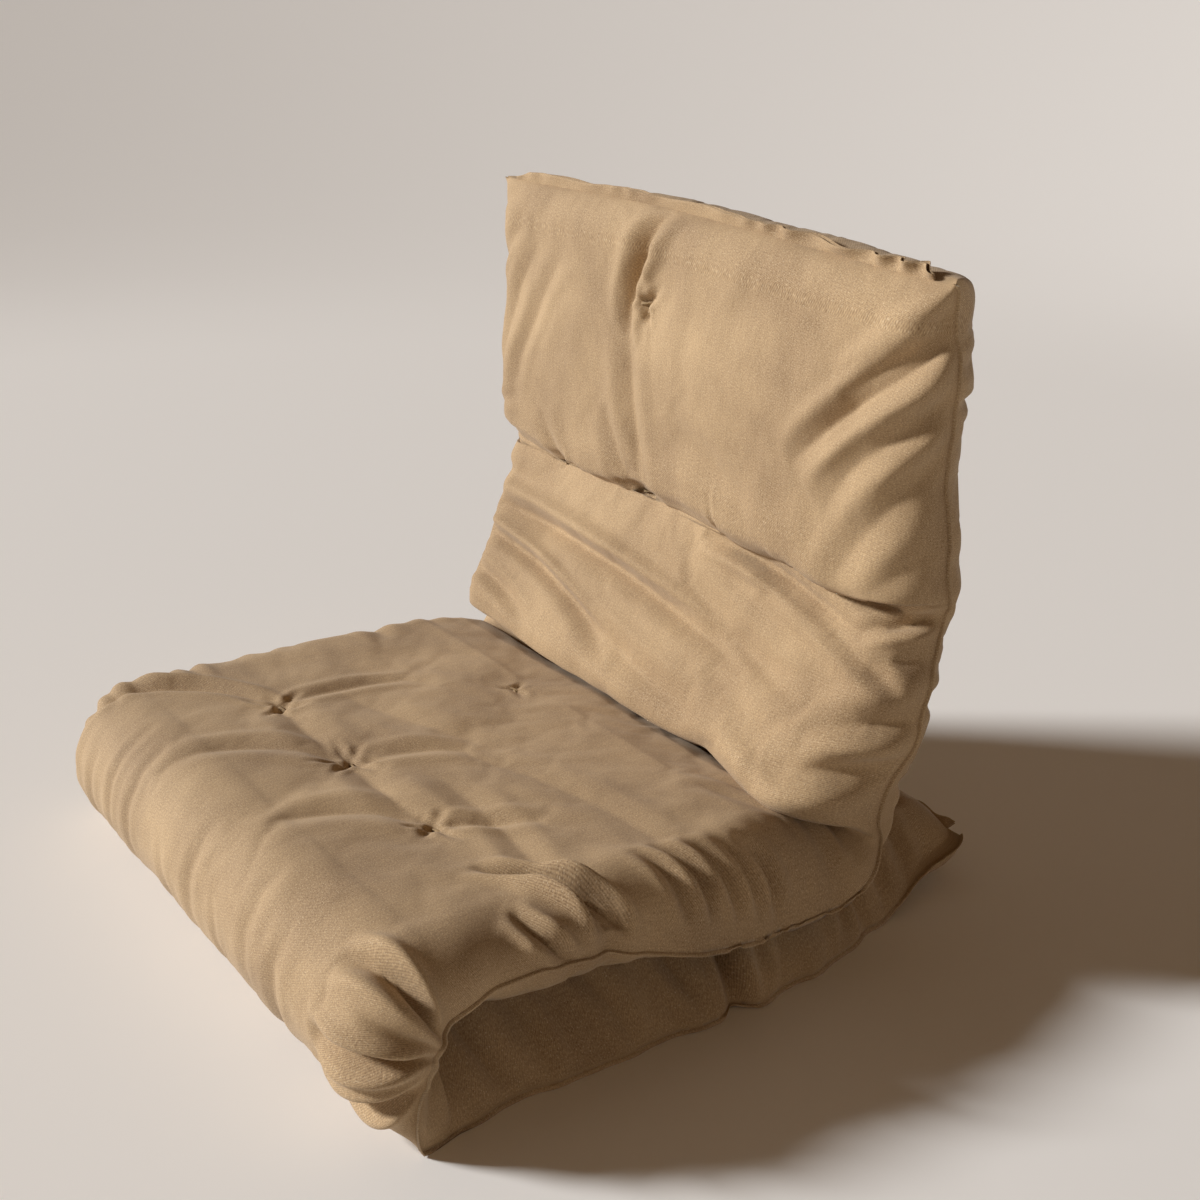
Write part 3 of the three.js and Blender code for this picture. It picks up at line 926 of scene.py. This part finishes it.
def stitchNodes(thread):
    tree = bpy.data.node_groups.new("tuftStitches", "GeometryNodeTree")
    tree.interface.new_socket("Geometry", in_out="INPUT", socket_type="NodeSocketGeometry")
    for name in ("Stitch Length", "Ply Radius", "Twist Radius", "Turns", "Arch"):
        tree.interface.new_socket(name, in_out="INPUT", socket_type="NodeSocketFloat")
    tree.interface.new_socket("Seed", in_out="INPUT", socket_type="NodeSocketInt")
    tree.interface.new_socket("Geometry", in_out="OUTPUT", socket_type="NodeSocketGeometry")
    source = addNode(tree, "NodeGroupInput").outputs
    result = addNode(tree, "NodeGroupOutput")

    def part(kind, output, inputs=None, settings=None):
        return addNode(tree, "GeometryNode" + kind, settings, inputs).outputs[output]

    def vector(**inputs):
        return addNode(tree, "ShaderNodeCombineXYZ", inputs=inputs).outputs["Vector"]

    def alongX():
        position = part("InputPosition", "Position")
        return addNode(tree, "ShaderNodeSeparateXYZ", inputs={"Vector": position}).outputs["X"]

    line = part("CurvePrimitiveLine", "Curve", {"Start": (-0.5, 0, 0), "End": (0.5, 0, 0)})
    fine = part("ResampleCurve", "Curve", {"Curve": line, "Count": 44})
    x = alongX()
    angle = calc(tree, "MULTIPLY", calc(tree, "MULTIPLY", x, source["Turns"]), 2 * math.pi)
    plyPlace = vector(X=calc(tree, "MULTIPLY", x, source["Stitch Length"]),
                      Y=calc(tree, "MULTIPLY", calc(tree, "COSINE", angle), source["Twist Radius"]),
                      Z=calc(tree, "MULTIPLY", calc(tree, "SINE", angle), source["Twist Radius"]))
    ply = part("SetPosition", "Geometry", {"Geometry": fine, "Position": plyPlace})
    three = part("MeshLine", "Mesh", {"Count": 3, "Offset": (0, 0, 0)},
                 {"mode": "OFFSET", "count_mode": "TOTAL"})
    spin = vector(X=calc(tree, "MULTIPLY", part("InputIndex", "Index"), 2 * math.pi / 3))
    plies = part("InstanceOnPoints", "Instances", {"Points": three, "Instance": ply, "Rotation": spin})
    plies = part("RealizeInstances", "Geometry", {"Geometry": plies})
    share = calc(tree, "DIVIDE", alongX(), source["Stitch Length"])
    drop = calc(tree, "MULTIPLY", calc(tree, "MULTIPLY", share, share), -4)
    arch = vector(Z=calc(tree, "MULTIPLY", calc(tree, "ADD", drop, 0.4), source["Arch"]))
    bar = part("SetPosition", "Geometry", {"Geometry": plies, "Offset": arch})
    ring = part("CurvePrimitiveCircle", "Curve", {"Resolution": 8, "Radius": source["Ply Radius"]},
                {"mode": "RADIUS"})
    solid = part("CurveToMesh", "Mesh", {"Curve": bar, "Profile Curve": ring, "Fill Caps": True})
    lie = part("InputNamedAttribute", "Attribute", {"Name": "lie"}, {"data_type": "FLOAT_VECTOR"})
    size = addNode(tree, "FunctionNodeRandomValue", {"data_type": "FLOAT"},
                   {2: 0.9, 3: 1.1, "Seed": source["Seed"]}).outputs[1]
    bars = part("InstanceOnPoints", "Instances",
                {"Points": source["Geometry"], "Instance": solid, "Rotation": lie, "Scale": size})
    bars = part("RealizeInstances", "Geometry", {"Geometry": bars})
    bars = part("SetShadeSmooth", "Geometry", {"Geometry": bars})
    bars = part("SetMaterial", "Geometry", {"Geometry": bars, "Material": thread})
    tree.links.new(bars, result.inputs["Geometry"])
    return tree


def sewTufts(section, tree):
    # one point for each bar of thread, lying on the cover at its tuft and turned with the surface
    part, places = tuftPlaces[section]
    random = np.random.default_rng(len(section))
    spots, lies = [], []
    for place in places:
        centre = spot(part, *place)
        for side in (True, False):
            far = np.hypot(girth - centre[0], reach - centre[1]) + np.where(onFace == side, 0, 9)
            nearest = int(np.argmin(far))
            up = Vector(finalNormals[nearest])
            across = Vector((1, 0, 0)) - up * up.x
            across.normalize()
            for bar in range(stitch["bars"]):
                yaw = math.radians(random.uniform(-14, 14) + 24 * (bar - 0.5))
                direction = across * math.cos(yaw) + up.cross(across) * math.sin(yaw)
                turn = Matrix((direction, up.cross(direction), up)).transposed()
                spots.append(Vector(skinPoints[nearest]) + up * (0.9 + 0.7 * bar) * mm)
                lies.append(turn.to_euler())
    mesh = bpy.data.meshes.new(section + "Spots")
    mesh.from_pydata([tuple(p) for p in spots], [], [])
    attribute = mesh.attributes.new("lie", "FLOAT_VECTOR", "POINT")
    attribute.data.foreach_set("vector", [c for euler in lies for c in euler])
    holder = addThing(section + "Stitches", mesh)
    modifier = holder.modifiers.new("stitches", "NODES")
    modifier.node_group = tree
    values = {"Stitch Length": stitch["length"], "Ply Radius": stitch["ply"], "Turns": stitch["turns"],
              "Twist Radius": stitch["twist"], "Arch": stitch["arch"], "Seed": 3}
    for item in tree.interface.items_tree:
        if item.in_out == "INPUT" and item.name in values:
            modifier[item.identifier] = values[item.name]
    bpy.context.view_layer.update()
    graph = bpy.context.evaluated_depsgraph_get()
    holder.data = bpy.data.meshes.new_from_object(holder.evaluated_get(graph), depsgraph=graph)
    holder.modifiers.clear()
    return holder


# cloth and thread

def newMaterial(name, values):
    # a material and its shader, with the given values
    material = bpy.data.materials.new(name)
    material.use_nodes = True
    shader = material.node_tree.nodes["Principled BSDF"]
    for key, value in values.items():
        shader.inputs[key].default_value = value
    return material, material.node_tree, shader


def noise(tree, vector, size, detail, roughness=0.5):
    return addNode(tree, "ShaderNodeTexNoise", inputs={
        "Vector": vector, "Scale": 1 / size, "Detail": detail, "Roughness": roughness}).outputs["Fac"]


def mapped(tree, vector, **inputs):
    return addNode(tree, "ShaderNodeMapping", inputs={"Vector": vector, **inputs}).outputs["Vector"]


def toneRamp(tree, tone, *stops):
    # a colour for each tone, between two (place, colour) stops
    ramp = addNode(tree, "ShaderNodeValToRGB", inputs={"Fac": tone})
    for element, (place, colour) in zip(ramp.color_ramp.elements, stops):
        element.position, element.color = place, linear(colour)
    return ramp.outputs["Color"]


def relief(tree, shader, height, strength, depth):
    normal = addNode(tree, "ShaderNodeBump", inputs={
        "Height": height, "Strength": strength, "Distance": depth}).outputs["Normal"]
    tree.links.new(normal, shader.inputs["Normal"])


def sateen():
    # unbleached cotton ticking in a warrant twill weave, slightly napped, with darker slubs in the yarn
    material, tree, shader = newMaterial("cottonTicking", {
        "Roughness": 0.82, "Specular IOR Level": 0.65, "Sheen Weight": 0.15, "Sheen Roughness": 0.75,
        "Sheen Tint": linear("#fffaf2")})
    uv = addNode(tree, "ShaderNodeUVMap", {"uv_map": "girthAndLength"}).outputs["UV"]
    ribAngle, ribPeriod = 62, 1.3 * mm
    turnedUv = mapped(tree, uv, Rotation=(0, 0, math.radians(ribAngle)))
    ribs = addNode(tree, "ShaderNodeTexWave", {"wave_type": "BANDS", "bands_direction": "X"},
                   {"Vector": turnedUv, "Scale": 0.314 / ribPeriod, "Distortion": 1.2, "Detail": 1.0,
                    "Detail Scale": 2.0}).outputs["Fac"]
    yarn = noise(tree, uv, 1.6 * mm, 4, 0.75)
    slubs = noise(tree, mapped(tree, uv, Scale=(1, 0.12, 1)), 2.5 * mm, 2, 0.6)
    broad = noise(tree, uv, 120 * mm, 3)
    weave = 0.0
    for amount, share in ((ribs, 0.12), (yarn, 0.74), (slubs, 0.14)):
        weave = calc(tree, "ADD", weave, calc(tree, "MULTIPLY", amount, share))
    tone = calc(tree, "ADD", calc(tree, "MULTIPLY", weave, 0.75), calc(tree, "MULTIPLY", broad, 0.25))
    # bright naps where single fibres stand up
    bright = addNode(tree, "ShaderNodeMapRange", {"interpolation_type": "SMOOTHSTEP"},
                     {"Value": noise(tree, uv, 1.0 * mm, 1), "From Min": 0.60, "From Max": 0.74,
                      "To Max": 0.55}).outputs[0]
    colour = addNode(tree, "ShaderNodeMix", {"data_type": "RGBA"}, {
        0: bright, 6: toneRamp(tree, tone, (0.36, "#6f4f24"), (0.64, "#c3a478")), 7: linear("#e9d6b4")})
    tree.links.new(colour.outputs[2], shader.inputs["Base Color"])
    relief(tree, shader, weave, 0.5, 0.4 * mm)
    return material


def twistedThread():
    # waxed cotton tufting thread, the colour of the cover, with a slight shine along each ply
    material, tree, shader = newMaterial("tuftThread", {
        "Roughness": 0.55, "Sheen Weight": 0.3, "Sheen Roughness": 0.5})
    fuzz = noise(tree, addNode(tree, "ShaderNodeTexCoord").outputs["Object"], 0.4 * mm, 2)
    tree.links.new(toneRamp(tree, fuzz, (0.3, "#7e6238"), (0.7, "#b99c6c")), shader.inputs["Base Color"])
    relief(tree, shader, fuzz, 0.4, 0.1 * mm)
    return material


cloth = sateen()
for piece in (*covers.values(), headSeam, baseSeam):
    piece.data.materials.append(cloth)

threads = stitchNodes(twistedThread())
for section in tuftPlaces:
    sewn = sewTufts(section, threads)
    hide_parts(*[f"{section}_tuft_{k + 1}" for k in range(len(tuftPlaces[section][1]))])
    if section == "back":
        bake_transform(sewn)
    else:
        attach(sewn, section)
print("stitched")


# floor, light and camera

def layFloor():
    # a pale studio sweep: flat under the mattress, rising slowly far round it
    ringCount, spokes = 40, 48
    points, faces = [(0, 0, 0)], []
    for k in range(1, ringCount + 1):
        radius = 2.2 + 0.5 * (k - 1)
        height = 0.25 * max(0, radius - 3.2) ** 2 / (1 + max(0, radius - 3.2))
        for j in range(spokes):
            angle = 2 * math.pi * j / spokes
            points.append((radius * math.cos(angle), radius * math.sin(angle), height))
    for j in range(spokes):
        following = (j + 1) % spokes
        faces.append((0, 1 + j, 1 + following))
        for k in range(ringCount - 1):
            first, second = 1 + k * spokes, 1 + (k + 1) * spokes
            faces.append((first + j, second + j, second + following, first + following))
    floor = makeMesh("studioFloor", points, faces)
    paper = newMaterial("studioPaper", {"Base Color": linear("#f6f4f1"), "Roughness": 0.9})[0]
    floor.data.materials.append(paper)
    return floor


def sunLight(name, toward, width, power, colour="#ffffff"):
    # a far, soft light from the given direction, width degrees across
    light = bpy.data.lights.new(name, "SUN")
    light.angle, light.energy = math.radians(width), power
    light.color = linear(colour)[:3]
    lamp = addThing(name, light)
    lamp.rotation_mode = "QUATERNION"
    lamp.rotation_quaternion = Vector(toward).normalized().to_track_quat("Z", "Y")
    lamp.location = Vector(toward).normalized() * 3
    return lamp


view = {
    "target": (0.043, float(frontCrease[0]) + 0.362, 0.295),
    "azimuth": 53.645,
    "elevation": 20.756,
    "roll": 1.402,
    "distance": 1.637,
    "lens": 48.09,
}


def placeCamera():
    a, e, r = (math.radians(view[k]) for k in ("azimuth", "elevation", "roll"))
    back = Vector((math.sin(a) * math.cos(e), -math.cos(a) * math.cos(e), math.sin(e)))
    right = Vector((math.cos(a), math.sin(a), 0))
    up = back.cross(right)
    across, upward = right * math.cos(r) + up * math.sin(r), up * math.cos(r) - right * math.sin(r)
    data = bpy.data.cameras.new("camera")
    data.lens, data.sensor_width = view["lens"], 36
    camera = addThing("camera", data)
    turn = Matrix((across, upward, back)).transposed().to_4x4()
    camera.matrix_world = Matrix.Translation(Vector(view["target"]) + back * view["distance"]) @ turn
    bpy.context.scene.camera = camera


floor = layFloor()
key = sunLight("keyLight", (-0.63, -0.70, 0.42), 10, 4.3)
top = sunLight("topLight", (-0.5, -0.1, 1), 50, 0.05)
placeCamera()
world = bpy.data.worlds.new("studio")
world.use_nodes = True
world.node_tree.nodes["Background"].inputs["Color"].default_value = linear("#ffc684")
world.node_tree.nodes["Background"].inputs["Strength"].default_value = 0.1
bpy.context.scene.world = world
bpy.context.scene.view_settings.view_transform = "Standard"
